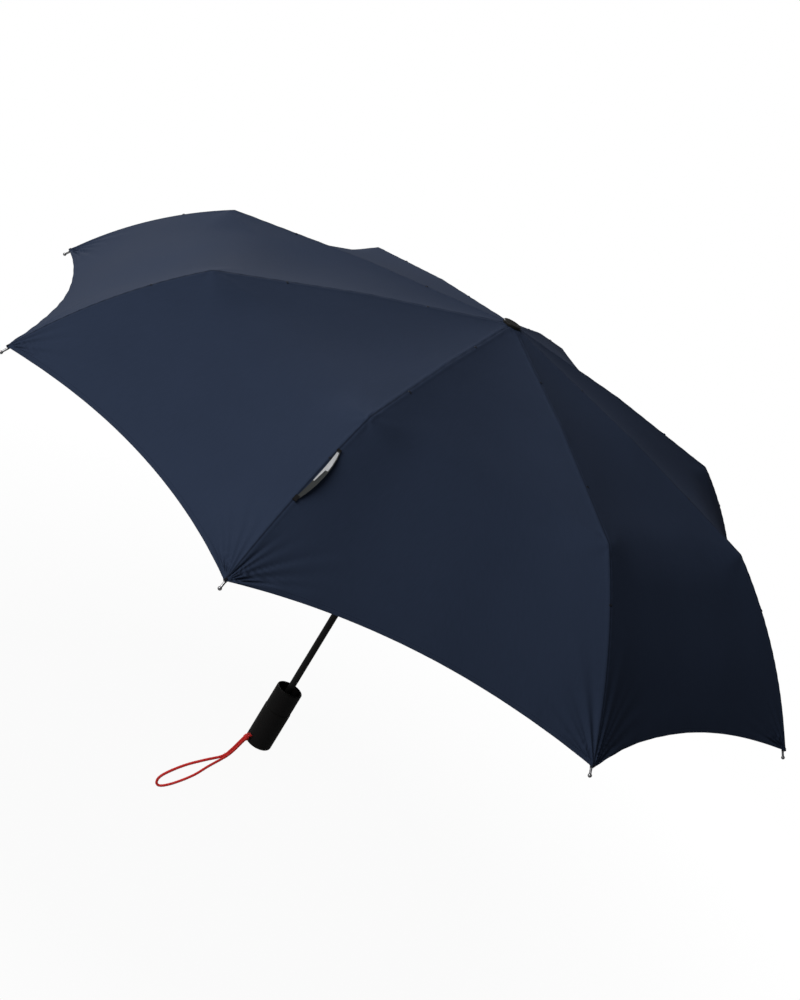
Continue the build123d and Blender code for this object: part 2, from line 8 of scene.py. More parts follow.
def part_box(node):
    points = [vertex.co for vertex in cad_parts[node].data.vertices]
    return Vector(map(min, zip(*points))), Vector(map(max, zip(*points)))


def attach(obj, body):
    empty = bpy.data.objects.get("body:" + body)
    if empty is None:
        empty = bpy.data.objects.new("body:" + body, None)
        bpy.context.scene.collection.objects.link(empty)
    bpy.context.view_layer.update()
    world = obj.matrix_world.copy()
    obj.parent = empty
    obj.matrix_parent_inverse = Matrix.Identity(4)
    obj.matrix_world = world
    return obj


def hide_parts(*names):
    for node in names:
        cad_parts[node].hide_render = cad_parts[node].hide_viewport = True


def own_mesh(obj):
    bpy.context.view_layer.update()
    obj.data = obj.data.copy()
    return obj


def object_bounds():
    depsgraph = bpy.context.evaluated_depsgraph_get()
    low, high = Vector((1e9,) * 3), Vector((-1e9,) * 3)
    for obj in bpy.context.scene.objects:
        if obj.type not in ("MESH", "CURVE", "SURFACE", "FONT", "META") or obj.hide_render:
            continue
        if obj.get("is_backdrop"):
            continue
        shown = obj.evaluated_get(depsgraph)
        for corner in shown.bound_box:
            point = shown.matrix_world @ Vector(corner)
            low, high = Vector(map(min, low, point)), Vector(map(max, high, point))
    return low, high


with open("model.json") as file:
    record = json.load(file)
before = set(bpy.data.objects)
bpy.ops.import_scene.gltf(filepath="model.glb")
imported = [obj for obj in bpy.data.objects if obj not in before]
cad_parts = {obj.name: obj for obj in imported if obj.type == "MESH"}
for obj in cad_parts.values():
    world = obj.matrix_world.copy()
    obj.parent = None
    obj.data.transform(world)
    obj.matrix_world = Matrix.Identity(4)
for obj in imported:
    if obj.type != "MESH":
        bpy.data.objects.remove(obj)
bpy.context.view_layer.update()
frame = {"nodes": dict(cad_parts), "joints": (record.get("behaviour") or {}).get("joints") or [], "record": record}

# Looks of the folding umbrella. The cloth, its strap, label and threads and the wrist cord are modelled
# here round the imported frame, and every CAD piece gets its material. Lengths are in metres in the part's
# frame: +Z runs up the shaft from the handle's flat end, and the first rib stands along +X.
MM = 0.001
RIBS = 8


# ---- places read from the frame ----
def joint_place(name):
    """Radius and height of a hinge, from the record."""
    joint = next(j for j in frame["joints"] if j["name"] == name)
    x, y, z = joint["pos_m"]
    return np.array([math.hypot(x, y), z])


def unit(vector):
    return vector / np.linalg.norm(vector)


def left_of(point, along, distance):
    """A point of the (radius, height) plane moved to the left of a direction."""
    return np.array([point[0] - along[1] * distance, point[1] + along[0] * distance])


CLOTH_GAP = 5.4 * MM     # cloth above the ribs' centre line
PIN_RISE = 2.0 * MM      # elbow pin above the ribs' centre line
HOLE_R = 3.3 * MM        # hole in the middle of the cloth, round the crown's peg
FLAT_R = 12.6 * MM       # the cloth lies level on the hub out to here
CAD_THICK = 0.8 * MM     # of the solid that stands in for the cloth
CLOTH_LOW, CLOTH_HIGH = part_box("canopy")
CROWN_Z = CLOTH_HIGH[2]
HOLE = np.array([HOLE_R, CROWN_Z])
FLAT = np.array([FLAT_R, CROWN_Z])
ELBOW_PIN, KNEE_PIN = joint_place("mid_1_fold"), joint_place("end_1_fold")
ELBOW = left_of(ELBOW_PIN, unit(ELBOW_PIN - FLAT), CLOTH_GAP - PIN_RISE)
KNEE = left_of(KNEE_PIN, unit(KNEE_PIN - ELBOW_PIN), CLOTH_GAP)
CORNER = np.array([max(CLOTH_HIGH[0], CLOTH_HIGH[1]), CLOTH_LOW[2] + CAD_THICK])
TWIST = math.radians(-0.45)     # turns the seams over the end ribs, which run beside the mid ribs
HALF = math.pi / RIBS           # half of one gore's angle


# ---- the cloth's master surface ----
END_SAG = 10 * MM        # bow of the end rib
SOFT_KNEE = 42 * MM      # the cloth rounds the knee between two ribs over this reach
SADDLE = 11 * MM         # dip of the cloth between two ribs
DIP_IN, DIP_DOWN = 0.45, 0.9     # its direction
DIP_LOST = 0.6           # share of it that is gone at the hem
HEM_BITE = 1.6           # the scallop is drawn in with this power of the way from knee to hem
HEM_IN = -24.4 * MM      # middle of the hem, outward from the line between two tips
HEM_UP = 12.6 * MM       # and above that line
CLOTH_THICK = 0.35 * MM
LEAST_REACH = 0.05 * MM  # the rounding where the cloth stays sharp
SEAM_STEP = 0.7 * MM     # first column beside a seam
SEAM_WIDE = 7 * MM       # of the folded allowance under a seam
HEM_WIDE = 7 * MM
HEM_STITCH = 5.6 * MM    # stitch line from the hem's edge
HEM_ROWS = (10.0, 8.4, 7.4, 6.8, 6.2, 5.6, 5.0, 4.2, 2.8, 1.4, 0.5, 0.0)     # mm from the edge
TIP_FOLD = 2.0 * MM      # depth of the folds that fan out from a tip
COLUMNS = 40             # from a rib to the middle of a gore
ROWS = (3, 20, 22, 60)   # under the cap, top rib, mid rib, end rib


def rib_span(start, stop, sag, shares):
    """Points at shares of the way along a bowed line."""
    chord = stop - start
    across = np.array([-chord[1], chord[0]]) / np.linalg.norm(chord)
    return start + np.outer(shares, chord) + np.outer(4 * shares * (1 - shares) * sag, across)


SPANS = ((HOLE, FLAT, 0.0), (FLAT, ELBOW, 0.0), (ELBOW, KNEE, 0.0), (KNEE, CORNER, END_SAG))
TOP_SPAN, MID_SPAN, END_SPAN = 1, 2, 3


class Profile:
    """The cloth over a rib as a fine line, which can be rounded over a reach."""
    FINE = 800      # points on each span
    SPARE = 400     # points added past each end
    LONG = 20       # steps before the first point are this many times longer

    def __init__(self):
        pieces = [rib_span(a, b, sag, np.linspace(0, 1, self.FINE)) for a, b, sag in SPANS]
        line = np.concatenate([p[:-1] for p in pieces] + [pieces[-1][-1:]])
        before = line[0] - (line[1] - line[0]) * np.arange(self.SPARE, 0, -1)[:, None] * self.LONG
        after = line[-1] + (line[-1] - line[-2]) * np.arange(1, self.SPARE + 1)[:, None]
        self.joints = [0.0]
        for p in pieces:
            self.joints.append(self.joints[-1] + np.linalg.norm(np.diff(p, axis=0), axis=1).sum())
        line = np.concatenate([before, line, after])
        steps = np.linalg.norm(np.diff(line, axis=0), axis=1)
        self.s = np.concatenate([[0], np.cumsum(steps)])
        self.s -= self.s[self.SPARE]
        area = (line[1:] + line[:-1]) / 2 * steps[:, None]
        self.sums = np.concatenate([[[0, 0]], np.cumsum(area, axis=0)])
        self.length = self.joints[-1]

    def at(self, s, reach):
        """Mean of the line from s - reach to s + reach."""
        return [(np.interp(s + reach, self.s, sums) - np.interp(s - reach, self.s, sums)) / (2 * reach)
                for sums in self.sums.T]


PROFILE = Profile()


def row_places():
    """Distance along the rib of every row of the cloth, and the first row of each zone."""
    rows, starts = [0.0], []
    for (low, high), count in zip(zip(PROFILE.joints, PROFILE.joints[1:]), ROWS):
        starts.append(len(rows) - 1)
        rows += list(np.linspace(low, high, count + 1)[1:])
    hem = PROFILE.length - np.array(HEM_ROWS) * MM
    rows = [r for r in rows if r < hem[0] - 1 * MM] + list(hem)
    return np.array(rows), starts


ROW_S, ROW_START = row_places()
ELBOW_S, KNEE_S = PROFILE.joints[2:4]
ZONES = {
    "top": (0, ROW_START[2]),
    "mid": (ROW_START[2], ROW_START[3]),
    "end": (ROW_START[3], len(ROW_S) - 1),
}


def graded(half_width):
    """Shares of the way from a seam to the middle of the gore, close together beside the seam."""
    bends = np.linspace(0.001, 6, 600)     # the bend is looked up that makes the first step SEAM_STEP
    ratio = np.sinh(bends) / np.sinh(bends / COLUMNS)
    bend = np.interp(half_width / SEAM_STEP, ratio, bends)
    steps = np.arange(COLUMNS + 1) / COLUMNS
    return np.sinh(bend[:, None] * steps) / np.sinh(bend[:, None])


def waves(rng, count, low, high):
    """Random directions, wavelengths and phases of a few long waves."""
    angle = rng.uniform(0, math.pi, count)
    number = 2 * math.pi / rng.uniform(low, high, count)
    return np.cos(angle) * number, np.sin(angle) * number, rng.uniform(0, 2 * math.pi, count)


def smooth_step(x):
    x = np.clip(x, 0, 1)
    return x * x * (3 - 2 * x)


def bell(x, middle, wide):
    """1 in the middle, falling to nothing on both sides."""
    return np.exp(-(((x - middle) / wide) ** 2))


def tip_folds(rng, reach, angle, d):
    """Sharp folds that fan out from a tip, given by distance from it and angle from the seam."""
    fold = np.zeros_like(reach)
    for place in np.linspace(0.22, 1.32, 5) + rng.uniform(-0.07, 0.07, 5):
        wide = rng.uniform(0.06, 0.10)
        far = rng.uniform(30, 68) * MM
        deep = rng.uniform(0.6, 1.2) * bell(reach, 0, far)
        fold += deep * (bell(angle, place, wide) - 0.6 * bell(angle, place + 0.13, 0.08))
    return -TIP_FOLD * fold * smooth_step(reach / (12 * MM)) * smooth_step(d / (1.5 * MM))


def relief(rng, hem_phase, slack_waves, s, d, side, half_width):
    """Height of seams, hem, tip folds and slack over one half of a gore.

    s is the distance down the rib and d the distance to the seam. hem_phase and slack_waves are shared by
    both halves of a gore, and measured from its middle, so that the halves meet without a crease.
    """
    to_hem = PROFILE.length - s
    from_middle = side * (half_width - d)
    seam = 0.2 * MM * bell(d, 3 * MM, 1.8 * MM) - 0.35 * MM * bell(d, 0, 1.1 * MM)
    pucker = 0.16 * MM * bell(d, 0, 9 * MM) * np.sin(s / (1.9 * MM) + rng.uniform(0, 6))
    pucker *= smooth_step(d / (2 * MM))
    hem = 0.18 * MM * smooth_step((HEM_WIDE - to_hem) / (0.6 * MM))
    stitch = -0.16 * MM * bell(to_hem, HEM_STITCH, 0.6 * MM)
    ripple = 0.3 * MM * bell(to_hem, 0, 16 * MM) * np.sin(from_middle / (5.2 * MM) + hem_phase)
    slack = sum(np.sin(kx * s + ky * from_middle + phase) for kx, ky, phase in zip(*slack_waves))
    slack *= 0.3 * MM * smooth_step(d / (40 * MM)) * smooth_step((half_width - 30 * MM) / (70 * MM))
    pull = bell(s, KNEE_S, 26 * MM) * np.exp(-d / (34 * MM)) * smooth_step(d / (4 * MM))
    crease = 0.4 * MM * pull * np.sin(np.arctan2(s - KNEE_S, d + 2 * MM) * 7 + rng.uniform(0, 6))
    fan = tip_folds(rng, np.hypot(d, to_hem), np.arctan2(d, to_hem), d)
    return seam + pucker + hem + stitch + ripple + fan + slack + crease


def grid_normals(points):
    """Normals of a closed-round grid of points, rows by columns."""
    along = np.gradient(points, axis=0)
    across = (np.roll(points, -1, axis=1) - np.roll(points, 1, axis=1)) / 2
    normals = np.cross(along, across)
    normals /= np.linalg.norm(normals, axis=2)[:, :, None]
    return normals * np.sign(normals[:, :, 2].mean())


def spread(r, z, u, pull, dip):
    """Places over a gore that looks along X, from the rib's profile and the share u across the gore."""
    bulge = 1 - u * u
    slack = dip * (1 - pull)
    x = r * math.cos(HALF) + bulge * (HEM_IN * pull - DIP_IN * slack)
    y = r * math.sin(HALF) * u
    return x, y, z + bulge * (HEM_UP * pull - DIP_DOWN * slack)


def master_cloth():
    """Outer and inner surface and normals of the whole canopy, and each point's distance to its seam."""
    radius = PROFILE.at(ROW_S, np.full_like(ROW_S, 2 * LEAST_REACH))[0]
    width = radius * math.sin(HALF)
    half = graded(width)
    to_seam = half * width[:, None]
    total = RIBS * 2 * COLUMNS
    base = np.zeros((len(ROW_S), total, 3))
    height = np.zeros((len(ROW_S), total))
    beside = np.zeros((len(ROW_S), total))
    share = np.clip((ROW_S - KNEE_S) / (PROFILE.length - KNEE_S), 0, 1)
    pull = (share ** HEM_BITE)[:, None]
    dip = SADDLE * np.clip((radius - FLAT_R) / (KNEE[0] - FLAT_R), 0, 1)[:, None] * (1 - DIP_LOST * pull)
    s = np.broadcast_to(ROW_S[:, None], half.shape)
    ends = np.minimum(s, PROFILE.length - s) + LEAST_REACH
    for gore in range(RIBS):
        turn = (2 * gore + 1) * HALF + TWIST
        rng = np.random.default_rng(90 + gore)
        hem_phase, slack_waves = rng.uniform(0, 6), waves(rng, 4, 110 * MM, 260 * MM)
        for side in (-1, 1):
            rng = np.random.default_rng(40 + gore * 2 + (side > 0))
            u = side * (1 - half)
            reach = np.minimum(SOFT_KNEE * smooth_step((1 - np.abs(u)) * 2.2) + LEAST_REACH, ends)
            r, z = PROFILE.at(s, reach)
            x, y, z = spread(r, z, u, pull, dip)
            place = np.stack([x * math.cos(turn) - y * math.sin(turn),
                              x * math.sin(turn) + y * math.cos(turn), z], axis=2)
            lift = relief(rng, hem_phase, slack_waves, s, to_seam, side, width[:, None])
            count = COLUMNS + 1 if side < 0 else COLUMNS     # the gore's middle belongs to its first half
            columns = 2 * COLUMNS * (gore + (side > 0)) - side * np.arange(count)
            columns %= total
            base[:, columns] = place[:, :count]
            height[:, columns] = lift[:, :count]
            beside[:, columns] = to_seam[:, :count]
    outer = base + grid_normals(base) * height[:, :, None]
    normals = grid_normals(outer)
    to_hem = (PROFILE.length - ROW_S)[:, None]
    thick = CLOTH_THICK + 0.35 * MM * smooth_step((SEAM_WIDE - beside) / (0.7 * MM) + 0.5)
    thick += 0.3 * MM * smooth_step((HEM_WIDE - to_hem) / (0.7 * MM) + 0.5)
    inner = outer - normals * thick[:, :, None]
    return outer, inner, normals, to_seam


OUTER, INNER, NORMALS, FROM_SEAM = master_cloth()


def new_object(name, verts, faces, material, smooth=True):
    mesh = bpy.data.meshes.new(name)
    mesh.from_pydata([tuple(v) for v in verts], [], faces)
    mesh.update()
    if smooth:
        mesh.polygons.foreach_set("use_smooth", [True] * len(mesh.polygons))
    mesh.materials.append(material)
    piece = bpy.data.objects.new(name, mesh)
    bpy.context.scene.collection.objects.link(piece)
    return piece


def quads(*corners):
    """Faces from four equal grids of vertex numbers."""
    return np.stack([c.ravel() for c in corners], axis=1).tolist()


def sheet(name, outer, inner, across, along, material):
    """A closed sheet between two grids of points, with its thread coordinates in metres as UV."""
    index = np.arange(across.size).reshape(across.shape)
    under = index + across.size
    faces = quads(index[:-1, :-1], index[1:, :-1], index[1:, 1:], index[:-1, 1:])
    faces += quads(under[:-1, :-1], under[:-1, 1:], under[1:, 1:], under[1:, :-1])
    for upper, lower in ((index[::-1, 0], under[::-1, 0]), (index[:, -1], under[:, -1]),
                         (index[0], under[0]), (index[-1][::-1], under[-1][::-1])):
        faces += quads(upper[:-1], lower[:-1], lower[1:], upper[1:])
    verts = np.concatenate([outer.reshape(-1, 3), inner.reshape(-1, 3)])
    piece = new_object(name, verts, faces, material)
    threads = np.stack([across.ravel(), along.ravel()], axis=1)
    threads = np.concatenate([threads, threads])
    corners = np.zeros(len(piece.data.loops), int)
    piece.data.loops.foreach_get("vertex_index", corners)
    layer = piece.data.uv_layers.new(name="thread")
    layer.data.foreach_set("uv", threads[corners].astype(np.float32).ravel())
    return piece


def strip(rib, zone, side, material):
    """Half the cloth of one zone of one rib, from its seam to the middle of the gore beside it."""
    low, high = ZONES[zone]
    rows = np.arange(low, high + 1)
    steps = np.arange(-COLUMNS, 1) if side < 0 else np.arange(COLUMNS + 1)
    columns = (rib * 2 * COLUMNS + steps) % OUTER.shape[1]
    picked = np.ix_(rows, columns)
    across = -FROM_SEAM[rows][:, ::-1] if side < 0 else FROM_SEAM[rows]
    along = np.broadcast_to(ROW_S[rows][:, None], across.shape)
    name = f"cloth_{zone}_{rib + 1}_{'a' if side < 0 else 'b'}"
    piece = sheet(name, OUTER[picked], INNER[picked], across, along, material)
    normals = NORMALS[picked].reshape(-1, 3)
    both = np.concatenate([normals, -normals])
    piece.data.normals_split_custom_set_from_vertices([tuple(n) for n in both])
    return piece


# ---- materials ----
WEAVE = 0.5 * MM       # one period of the cloth's weave
STITCH = 2.4 * MM      # one stitch of the hem
SHARP = math.radians(32)     # edges sharper than this stay sharp in the shading


class Nodes:
    """Short ways to add and join shader nodes of one material."""

    def __init__(self, name):
        self.material = bpy.data.materials.new(name)
        self.material.use_nodes = True
        self.tree = self.material.node_tree
        self.shader = self.tree.nodes["Principled BSDF"]

    def join(self, socket, value):
        """Links another node's output to an input, or sets the input's value."""
        if isinstance(value, bpy.types.NodeSocket):
            self.tree.links.new(value, socket)
        else:
            socket.default_value = value

    def put(self, node, key, value):
        """Fills an input, given by its name with _ for each space, or by _ and its number."""
        self.join(node.inputs[int(key[1:])] if key[0] == "_" else node.inputs[key.replace("_", " ")], value)

    def add(self, kind, **inputs):
        node = self.tree.nodes.new("ShaderNode" + kind)
        for key, value in inputs.items():
            self.put(node, key, value)
        return node

    def math(self, operation, a, b=0.0):
        node = self.add("Math", _0=a, _1=b)
        node.operation = operation
        return node.outputs[0]

    def mix(self, share, a, b):
        node = self.tree.nodes.new("ShaderNodeMix")
        node.data_type = "RGBA"
        for number, value in ((0, share), (6, a), (7, b)):
            self.join(node.inputs[number], value)
        return node.outputs[2]

    def place(self):
        return self.add("TexCoord").outputs["Object"]

    def threads(self):
        """The sheet's UV as a vector, and its two parts: across and along the seam, in metres."""
        uv = self.add("UVMap")
        uv.uv_map = "thread"
        split = self.add("SeparateXYZ", Vector=uv.outputs[0])
        return uv.outputs[0], split.outputs[0], split.outputs[1]

    def stripes(self, distance, period):
        return self.math("SINE", self.math("MULTIPLY", distance, 2 * math.pi / period))

    def noise(self, vector, scale, detail=3.0, roughness=0.5):
        return self.add("TexNoise", Vector=vector, Scale=scale, Detail=detail, Roughness=roughness).outputs[0]

    def drawn_noise(self, vector, scales, detail, roughness=0.5):
        """Noise with a scale of its own along each axis."""
        return self.noise(self.add("Mapping", Vector=vector, Scale=scales).outputs[0], 1.0, detail, roughness)

    def ramp(self, value, low, high, to_low=0.0, to_high=1.0):
        node = self.add("MapRange", _0=value, _1=low, _2=high, _3=to_low, _4=to_high)
        return node.outputs[0]

    def bump(self, height, distance, strength=1.0):
        return self.add("Bump", Height=height, Distance=distance, Strength=strength).outputs[0]

    def finish(self, **inputs):
        for key, value in inputs.items():
            self.put(self.shader, key, value)
        return self.material


def rgba(colour, share=1.0):
    return tuple(part * share for part in colour) + (1.0,)


def grey(value):
    return rgba((value, value, value))


def cloth_material():
    """Tightly woven navy polyester: fine weave, slubs, painted shade along the seams and a stitched hem."""
    n = Nodes("navy_cloth")
    uv, across, along = n.threads()
    weave = n.math("MULTIPLY", n.stripes(across, WEAVE), n.stripes(along, WEAVE))
    slub = n.drawn_noise(uv, (900, 60, 1), 2.0)
    soft = n.noise(n.place(), 9.0)
    colour = n.mix(n.ramp(soft, 0.3, 0.7), rgba((0.0254, 0.0371, 0.0675)), rgba((0.0286, 0.0413, 0.0745)))
    colour = n.mix(n.math("MULTIPLY", n.ramp(slub, 0.35, 0.75), 0.25), colour, rgba((0.034, 0.048, 0.092)))
    # The dark line along each seam is painted shade of the seam's crease, growing from the elbow to the knee.
    seam = n.ramp(n.math("ABSOLUTE", across), 0.5 * MM, 1.5 * MM, 1.0, 0.0)
    seam_shade_strength = n.ramp(along, ELBOW_S, KNEE_S, 0.22, 0.60)
    from_stitches = n.math("ABSOLUTE", n.math("SUBTRACT", along, PROFILE.length - HEM_STITCH))
    dash = n.ramp(n.stripes(across, STITCH), -0.5, 0.1)
    hem = n.math("MULTIPLY", n.ramp(from_stitches, 0.2 * MM, 0.5 * MM, 1.0, 0.0), dash)
    # Painted seam shade: the cloth is darkened to near-black navy along the seam line.
    colour = n.mix(n.math("MULTIPLY", seam, seam_shade_strength), colour, rgba((0.004, 0.0055, 0.010)))
    colour = n.mix(n.math("MULTIPLY", hem, 0.5), colour, rgba((0.010, 0.014, 0.028)))
    height = n.math("ADD", n.math("MULTIPLY", weave, 0.5), n.math("MULTIPLY", slub, 0.6))
    height = n.math("ADD", height, n.math("MULTIPLY", hem, 2.0))
    return n.finish(Base_Color=colour, Roughness=n.ramp(soft, 0.3, 0.7, 0.86, 0.94),
                    Normal=n.bump(height, 0.03 * MM, 0.6), Specular_IOR_Level=0.05,
                    Sheen_Weight=0.02, Sheen_Roughness=0.5, Sheen_Tint=rgba((0.40, 0.50, 0.85)))


def worn_edges(n, radius):
    """How much a point lies on a convex edge, from 0 to 1."""
    rounded = n.add("Bevel", Radius=radius)
    rounded.samples = 4
    flat = n.add("NewGeometry").outputs["Normal"]
    between = n.add("VectorMath", _0=rounded.outputs[0], _1=flat)
    between.operation = "DOT_PRODUCT"
    return n.ramp(between.outputs["Value"], 0.97, 0.80)


def plastic_material(name, colour, rough, grain, depth, worn=1.9):
    """Moulded plastic: spark-eroded grain, soft patches from handling and paler rubbed edges."""
    n = Nodes(name)
    patch = n.noise(n.place(), 60.0, 4.0, 0.6)
    fine = n.noise(n.place(), grain, 2.0, 0.7)
    base = n.mix(n.ramp(patch, 0.3, 0.7), rgba(colour, 0.85), rgba(colour, 1.2))
    rubbed = n.math("MULTIPLY", worn_edges(n, 0.6 * MM), n.ramp(patch, 0.35, 0.6))
    base = n.mix(rubbed, base, rgba(colour, worn))
    return n.finish(Base_Color=base, Roughness=n.ramp(patch, 0.3, 0.7, rough - 0.06, rough + 0.06),
                    Normal=n.bump(fine, depth, 0.7), Specular_IOR_Level=0.2)


def metal_material(name, colour, rough, metallic, streak, worn):
    """Drawn or plated metal: fine lengthwise streaks, faint stains and bright rubbed edges."""
    n = Nodes(name)
    lines = n.drawn_noise(n.place(), (1500, 1500, 25), 2.0)
    stain = n.noise(n.place(), 90.0, 4.0, 0.6)
    base = n.mix(n.ramp(stain, 0.3, 0.75), rgba(colour), rgba(colour, 0.78))
    rubbed = n.math("MULTIPLY", worn_edges(n, 0.3 * MM), n.ramp(stain, 0.4, 0.6))
    base = n.mix(rubbed, base, rgba(worn))
    lined = n.ramp(lines, 0.3, 0.7, rough - 0.05, rough + 0.05)
    return n.finish(Base_Color=base, Roughness=n.math("ADD", lined, n.ramp(stain, 0.3, 0.8, 0, 0.08)),
                    Metallic=metallic, Normal=n.bump(lines, streak, 0.5), Specular_IOR_Level=0.3)


def thread_material(name, colour, twist, sheen):
    """Spun or braided yarn, lit softly along its fibres."""
    n = Nodes(name)
    fibre = n.drawn_noise(n.place(), (twist, twist, twist * 0.4), 3.0, 0.6)
    fade = n.noise(n.place(), 45.0)
    base = n.mix(n.ramp(fibre, 0.3, 0.7), rgba(colour, 0.72), rgba(colour))
    base = n.mix(n.math("MULTIPLY", n.ramp(fade, 0.4, 0.7), 0.3), base, rgba(colour, 1.15))
    return n.finish(Base_Color=base, Roughness=n.ramp(fibre, 0.3, 0.7, 0.72, 0.58), Specular_IOR_Level=0.3,
                    Sheen_Weight=sheen, Sheen_Roughness=0.4, Normal=n.bump(fibre, 0.12 * MM, 0.8))


def band_material(name, colour, pick, sheen=0.2):
    """Narrow woven band with ribs across its width."""
    n = Nodes(name)
    _, across, along = n.threads()
    ribs = n.stripes(along, pick)
    crossed = n.math("MULTIPLY", ribs, n.stripes(across, pick * 1.4))
    dust = n.noise(n.place(), 160.0, 4.0, 0.65)
    base = n.mix(n.ramp(dust, 0.35, 0.7), rgba(colour, 0.8), rgba(colour))
    base = n.mix(n.ramp(ribs, -1, 1, 0.0, 0.25), base, rgba(colour, 0.5))
    height = n.math("ADD", n.math("MULTIPLY", ribs, 0.5), n.math("MULTIPLY", crossed, 0.5))
    return n.finish(Base_Color=base, Roughness=n.ramp(dust, 0.3, 0.7, 0.7, 0.85), Specular_IOR_Level=0.25,
                    Sheen_Weight=sheen, Normal=n.bump(height, 0.06 * MM, 0.8))


def band_finishes():
    return {
        "strap_cloth": band_material("strap_cloth", (0.040, 0.044, 0.044), 0.9 * MM),
        "tack_thread": band_material("tack_thread", (0.004, 0.004, 0.005), 0.45 * MM, 0.02),
        "label_cloth": band_material("label_cloth", (0.66, 0.67, 0.69), 0.5 * MM),
    }


def thread_finishes():
    return {
        "red_cord": thread_material("red_cord", (0.86, 0.025, 0.020), 900, 0.25),
        "navy_thread": thread_material("navy_thread", (0.007, 0.010, 0.019), 2500, 0.03),
    }


def plastic_finishes():
    soft_touch, moulded, core = (0.0042, 0.0036, 0.0035), (0.012, 0.012, 0.011), (0.05, 0.05, 0.052)
    return {
        "soft_touch_black": plastic_material("soft_touch_black", soft_touch, 0.62, 1800, 0.02 * MM),
        "black_plastic": plastic_material("black_plastic", moulded, 0.45, 1200, 0.03 * MM),
        "core_plastic": plastic_material("core_plastic", core, 0.5, 900, 0.03 * MM, 1.3),
    }


def metal_finishes():
    enamel, plated, nickel = (0.006, 0.0055, 0.0055), (0.030, 0.030, 0.032), (0.42, 0.42, 0.43)
    return {
        "black_tube": metal_material("black_tube", enamel, 0.40, 0.0, 0.008 * MM, (0.05, 0.05, 0.05)),
        "black_steel": metal_material("black_steel", plated, 0.38, 0.7, 0.01 * MM, (0.25, 0.25, 0.25)),
        "bright_steel": metal_material("bright_steel", nickel, 0.33, 1.0, 0.01 * MM, (0.62, 0.62, 0.63)),
    }


FINISHES = {"navy_cloth": cloth_material(), **band_finishes(), **thread_finishes(),
            **plastic_finishes(), **metal_finishes()}


def dress_frame():
    """Gives every CAD node the finish of its material slot and smooth shading over its curves."""
    for part in frame["record"]["subparts"]:
        mesh = frame["nodes"][part["node"]].data
        mesh.materials.clear()
        mesh.materials.append(FINISHES[part["material_slot"]])
        mesh.polygons.foreach_set("material_index", [0] * len(mesh.polygons))
        mesh.polygons.foreach_set("use_smooth", [True] * len(mesh.polygons))
        mesh.set_sharp_from_angle(angle=SHARP)


dress_frame()


# ---- swept threads, cord and bands ----
def length_along(path):
    """Distance from the path's start to each of its points."""
    return np.concatenate([[0], np.cumsum(np.linalg.norm(np.diff(path, axis=0), axis=1))])


def resampled(path, old, new):
    """A path known at the old places, read at the new ones."""
    return np.stack([np.interp(new, old, path[:, i]) for i in range(3)], axis=1)


def smooth_path(points, step):
    """A Catmull-Rom curve through the points, resampled to about equal steps."""
    p = np.array(points, float)
    p = np.concatenate([[2 * p[0] - p[1]], p, [2 * p[-1] - p[-2]]])
    t = np.linspace(0, 1, 40, endpoint=False)[:, None]
    line = [0.5 * (2 * b + (c - a) * t + (2 * a - 5 * b + 4 * c - d) * t**2 + (3 * b - a - 3 * c + d) * t**3)
            for a, b, c, d in zip(p, p[1:], p[2:], p[3:])]
    line = np.concatenate(line + [p[-2:-1]])
    length = length_along(line)
    return resampled(line, length, np.linspace(0, length[-1], int(length[-1] / step)))


def directions(path):
    along = np.gradient(path, axis=0)
    return along / np.linalg.norm(along, axis=1)[:, None]


def carried_frames(path):
    """Two directions across a path at each point, carried along it without twisting."""
    along = directions(path)
    first = np.cross(along[0], [0.31, 0.52, 0.79])     # any direction that no path starts along
    sides = []
    for direction in along:
        first = unit(first - direction * (first @ direction))
        sides.append(first)
    return np.array(sides), np.cross(along, sides)


def swept(path, radius, sides, braid=0.0, lay=1.0):
    """Vertices and faces of a tube along a path. A braid lifts crossing strands by a share of the radius."""
    one, two = carried_frames(path)
    turn = 2 * math.pi * np.arange(sides) / sides
    run = 2 * math.pi * length_along(path)[:, None] / lay
    r = radius * (1 + braid * np.sin(4 * turn + run) * np.sin(4 * turn - run))
    ring = one[:, None] * np.cos(turn)[:, None] + two[:, None] * np.sin(turn)[:, None]
    verts = (path[:, None] + ring * r[:, :, None]).reshape(-1, 3)
    index = np.arange(len(path) * sides).reshape(len(path), sides)
    after = np.roll(index, -1, axis=1)
    faces = quads(index[:-1], index[1:], after[1:], after[:-1])
    return verts, faces + [index[0].tolist(), index[-1][::-1].tolist()]


def dressed(piece, body, slot, *nodes):
    """A piece that rides on a body and stands for CAD nodes."""
    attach(piece, body)
    if nodes:
        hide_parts(*nodes)


def at_rib(rib, radius, side, height):
    """Points given by radius, distance sideways and height, beside a rib's seam."""
    turn = 2 * HALF * rib + TWIST
    radius, side, height = np.broadcast_arrays(radius, side, height)
    x = radius * math.cos(turn) - side * math.sin(turn)
    y = radius * math.sin(turn) + side * math.cos(turn)
    return np.stack([x, y, height], axis=-1)


# ---- wrist cord ----
CORD_R = 1.55 * MM
CORD_SIDE = 1.6 * MM      # each strand beside the middle of the hole
CORD_STEP = 0.45 * MM
CORD_LAY = 7 * MM         # one turn of the braid
BRAID = 0.08              # height of its strands, as a share of the radius
